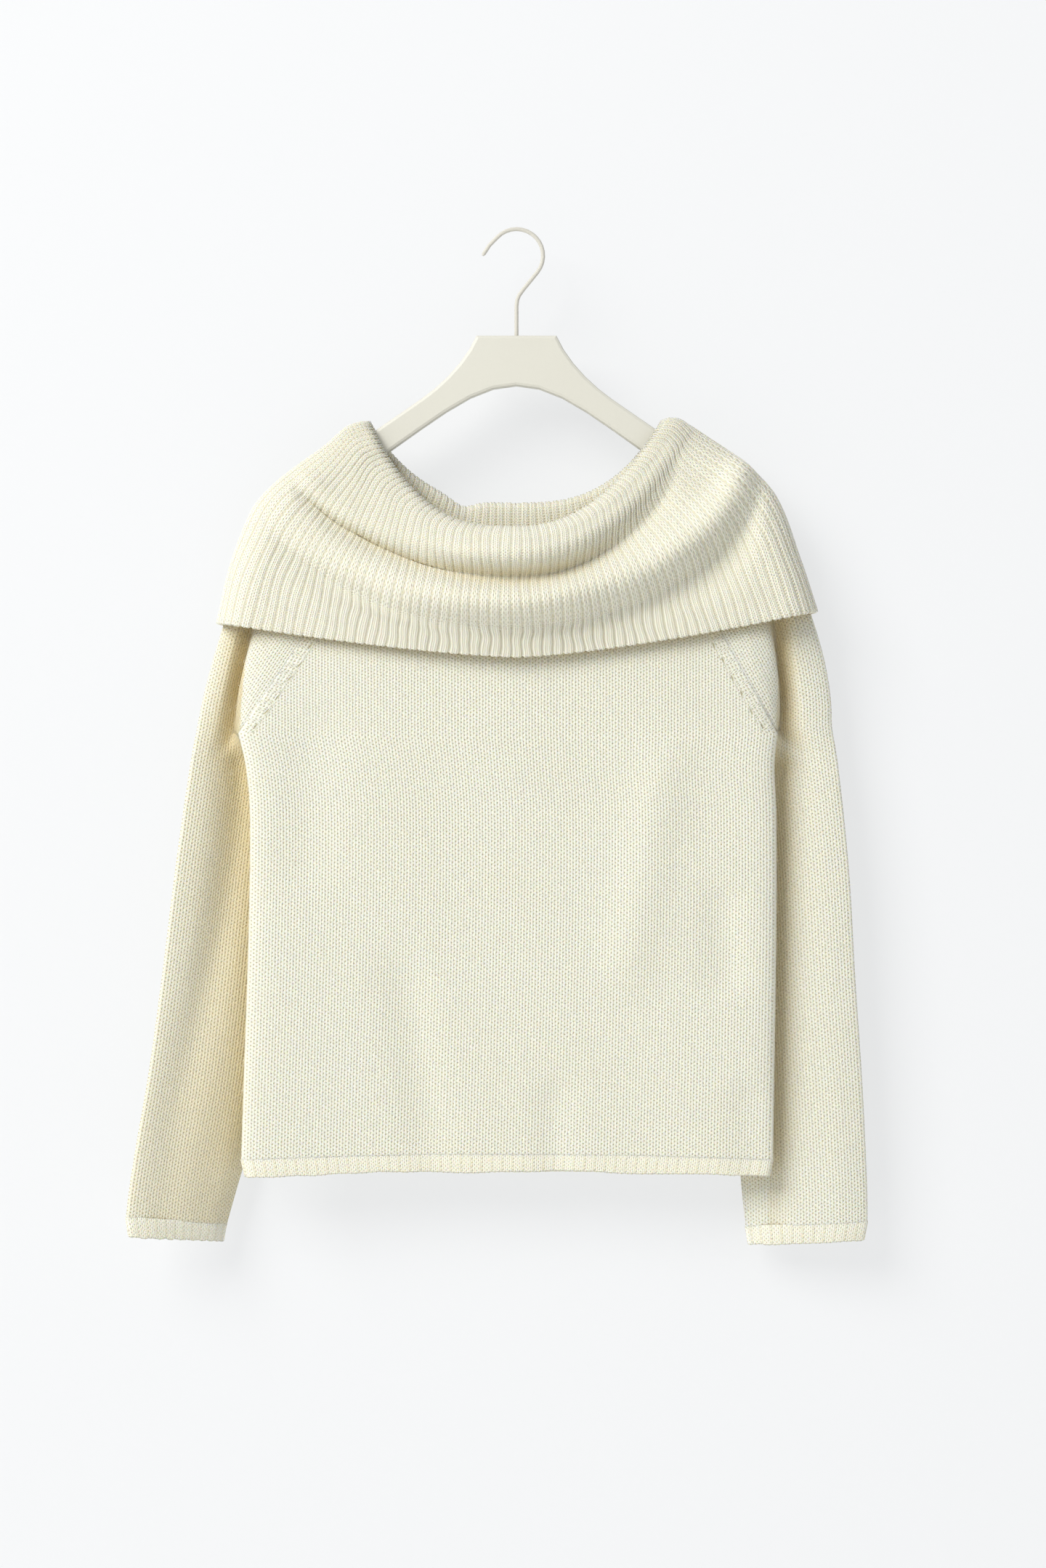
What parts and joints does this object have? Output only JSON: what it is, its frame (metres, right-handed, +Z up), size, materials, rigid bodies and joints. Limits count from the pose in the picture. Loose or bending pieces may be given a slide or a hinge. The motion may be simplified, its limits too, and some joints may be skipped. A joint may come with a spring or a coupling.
{
  "type": "ribbed sweater on a clothes hanger",
  "caption": "Plain knit sweater with a deep ribbed fold-over off-shoulder collar and raglan sleeves, hung on a flat hanger with a wire hook.",
  "frame": {"origin": "underside of the hook's crown, where a rail or peg carries the hanger", "axes": "+Z up, -Y out of the sweater's front, +X to the right as seen from the front"},
  "size_m": [0.6125, 0.0842, 0.8426],
  "materials": {
    "knit": "brushed wool mix, plain knit",
    "rib": "brushed wool mix, rib knit",
    "paint": "matt off-white paint",
    "wire": "satin off-white paint"
  },
  "bodies": {
    "root": {"collar": "rib", "front": "knit", "back": "knit", "sleeve_left": "knit", "sleeve_right": "knit", "hem_band": "rib", "cuff_left": "rib", "cuff_right": "rib", "hanger": "paint", "hook": "wire"}
  },
  "joints": []
}
